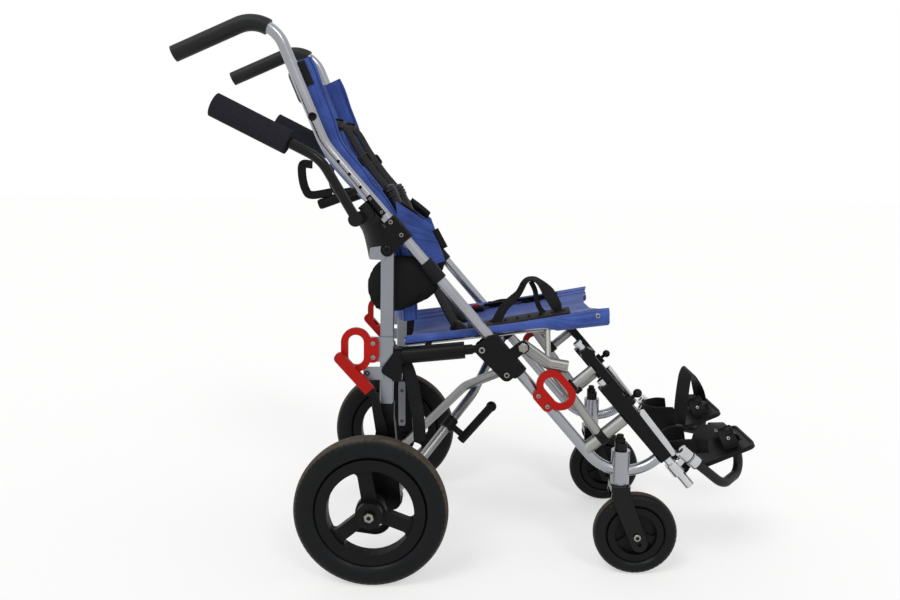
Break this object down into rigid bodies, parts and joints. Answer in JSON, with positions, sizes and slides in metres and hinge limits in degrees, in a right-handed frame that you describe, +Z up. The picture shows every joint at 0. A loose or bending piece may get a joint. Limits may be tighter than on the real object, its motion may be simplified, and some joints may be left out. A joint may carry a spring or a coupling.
{
  "type": "special needs buggy",
  "caption": "Folding special needs buggy: bent side tubes, sling seat and back, harness, push handles, spoked rear wheels, swivel casters and telescoping legrests with hinged footplates",
  "frame": {"origin": "middle of the footprint on the ground, half way along the overall length and on the middle plane", "axes": "+X forward towards the footplates, +Y to the left side, +Z up"},
  "size_m": [1.1567, 0.595, 1.0991],
  "materials": {
    "silver_tube": "clear anodised",
    "black_metal": "satin black powder coat",
    "black_rubber": "matte ribbed rubber",
    "black_foam": "matte closed-cell foam",
    "red_metal": "gloss red coat",
    "chrome": "polished chrome",
    "black_plastic": "fine moulded grain",
    "tyre": "moulded tread rubber",
    "black_pad": "woven webbing and padded cloth",
    "blue_cloth": "woven nylon cloth"
  },
  "bodies": {
    "right_frame": {"right_main_tube": "silver_tube", "right_push_grip": "black_rubber", "right_upper_bracket": "black_metal", "right_front_bracket": "black_metal", "right_lower_handle": "black_metal", "right_lower_grip": "black_foam", "right_front_tie_ring": "red_metal", "right_legrest_support": "silver_tube", "right_legrest_hanger": "black_metal", "right_seat_rail": "black_plastic", "right_seat_tube": "silver_tube", "right_side_pad": "black_pad", "back_sling": "blue_cloth", "seat_sling": "blue_cloth", "harness": "black_pad", "thigh_strap": "black_pad"},
    "right_leg": {"right_rear_leg": "silver_tube", "right_axle_bracket": "black_metal", "right_rear_tie_ring": "red_metal"},
    "right_wheel": {"right_rear_tyre": "tyre", "right_rear_rim": "black_plastic"},
    "right_caster": {"right_caster_fork": "black_metal"},
    "right_caster_wheel": {"right_caster_tyre": "tyre", "right_caster_hub": "black_plastic"},
    "right_brake": {"right_brake_pedal": "red_metal"},
    "right_release": {"right_hanger_release": "chrome"},
    "right_legrest": {"right_legrest_slide": "chrome"},
    "right_foot": {"right_footplate_arm": "black_metal", "right_footplate": "black_plastic", "right_foot_strap": "black_pad"},
    "left_frame": {"left_main_tube": "silver_tube", "left_push_grip": "black_rubber", "left_upper_bracket": "black_metal", "left_front_bracket": "black_metal", "left_lower_handle": "black_metal", "left_lower_grip": "black_foam", "left_front_tie_ring": "red_metal", "left_legrest_support": "silver_tube", "left_legrest_hanger": "black_metal", "left_seat_rail": "black_plastic", "left_seat_tube": "silver_tube", "left_side_pad": "black_pad"},
    "left_leg": {"left_rear_leg": "silver_tube", "left_axle_bracket": "black_metal", "left_rear_tie_ring": "red_metal"},
    "left_wheel": {"left_rear_tyre": "tyre", "left_rear_rim": "black_plastic"},
    "left_caster": {"left_caster_fork": "black_metal"},
    "left_caster_wheel": {"left_caster_tyre": "tyre", "left_caster_hub": "black_plastic"},
    "left_brake": {"left_brake_pedal": "red_metal"},
    "left_release": {"left_hanger_release": "chrome"},
    "left_legrest": {"left_legrest_slide": "chrome"},
    "left_foot": {"left_footplate_arm": "black_metal", "left_footplate": "black_plastic", "left_foot_strap": "black_pad"},
    "right_cross": {"right_brace": "silver_tube"},
    "left_cross": {"left_brace": "silver_tube", "fold_lever": "black_metal"}
  },
  "joints": [
    {"name": "fold", "type": "slide", "parent": "right_frame", "child": "left_frame", "axis": [0, -1, 0], "range_m": [0, 0.088], "deforming": ["back_sling", "seat_sling", "harness", "thigh_strap"]},
    {"name": "right_leg_swing", "type": "hinge", "parent": "right_frame", "child": "right_leg", "pos_m": [-0.16786, -0.19, 0.65995], "axis": [0, 1, 0], "range_deg": [0, 10.8]},
    {"name": "right_brace_swing", "type": "hinge", "parent": "right_frame", "child": "right_cross", "pos_m": [0.06727, -0.16006, 0.41509], "axis": [-0.3452, 0.4453, 0.8262], "range_deg": [0, 15.8]},
    {"name": "right_wheel_spin", "type": "hinge", "parent": "right_leg", "child": "right_wheel", "pos_m": [-0.1962, -0.26, 0.1525], "axis": [0, 1, 0], "continuous": true},
    {"name": "right_caster_swivel", "type": "hinge", "parent": "right_frame", "child": "right_caster", "pos_m": [0.30043, -0.19, 0.2], "axis": [0, 0, 1], "continuous": true},
    {"name": "right_caster_spin", "type": "hinge", "parent": "right_caster", "child": "right_caster_wheel", "pos_m": [0.33543, -0.19, 0.085], "axis": [0, 1, 0], "continuous": true},
    {"name": "right_brake_press", "type": "hinge", "parent": "right_leg", "child": "right_brake", "pos_m": [-0.1782, -0.224, 0.3005], "axis": [0, -1, 0], "range_deg": [0, 25]},
    {"name": "right_legrest_slide_joint", "type": "slide", "parent": "right_frame", "child": "right_legrest", "axis": [0.6534, 0, -0.757], "range_m": [-0.015, 0.06]},
    {"name": "right_foot_flip", "type": "hinge", "parent": "right_legrest", "child": "right_foot", "pos_m": [0.43979, -0.19, 0.24522], "axis": [0.7837, 0, -0.6211], "range_deg": [0, 80]},
    {"name": "right_release_pull", "type": "slide", "parent": "right_frame", "child": "right_release", "axis": [-0.6534, 0, 0.757], "range_m": [0, 0.006], "stiffness_N_per_m": 800},
    {"name": "left_leg_swing", "type": "hinge", "parent": "left_frame", "child": "left_leg", "pos_m": [-0.16786, 0.19, 0.65995], "axis": [0, 1, 0], "range_deg": [0, 10.8]},
    {"name": "left_brace_swing", "type": "hinge", "parent": "left_frame", "child": "left_cross", "pos_m": [0.06727, 0.16006, 0.41509], "axis": [0.3452, 0.4453, -0.8262], "range_deg": [0, 15.8]},
    {"name": "left_wheel_spin", "type": "hinge", "parent": "left_leg", "child": "left_wheel", "pos_m": [-0.1962, 0.26, 0.1525], "axis": [0, 1, 0], "continuous": true},
    {"name": "left_caster_swivel", "type": "hinge", "parent": "left_frame", "child": "left_caster", "pos_m": [0.30043, 0.19, 0.2], "axis": [0, 0, 1], "continuous": true},
    {"name": "left_caster_spin", "type": "hinge", "parent": "left_caster", "child": "left_caster_wheel", "pos_m": [0.33543, 0.19, 0.085], "axis": [0, 1, 0], "continuous": true},
    {"name": "left_brake_press", "type": "hinge", "parent": "left_leg", "child": "left_brake", "pos_m": [-0.1782, 0.224, 0.3005], "axis": [0, -1, 0], "range_deg": [0, 25]},
    {"name": "left_legrest_slide_joint", "type": "slide", "parent": "left_frame", "child": "left_legrest", "axis": [0.6534, 0, -0.757], "range_m": [-0.015, 0.06]},
    {"name": "left_foot_flip", "type": "hinge", "parent": "left_legrest", "child": "left_foot", "pos_m": [0.43979, 0.19, 0.24522], "axis": [-0.7837, 0, 0.6211], "range_deg": [0, 80]},
    {"name": "left_release_pull", "type": "slide", "parent": "left_frame", "child": "left_release", "axis": [-0.6534, 0, 0.757], "range_m": [0, 0.006], "stiffness_N_per_m": 800}
  ],
  "couplings": [
    {"joint": "right_leg_swing", "follows": "fold", "rad_per_m": 2.1272},
    {"joint": "right_brace_swing", "follows": "fold", "rad_per_m": 3.1204},
    {"joint": "left_leg_swing", "follows": "fold", "rad_per_m": 2.1272},
    {"joint": "left_brace_swing", "follows": "fold", "rad_per_m": 3.1204}
  ]
}
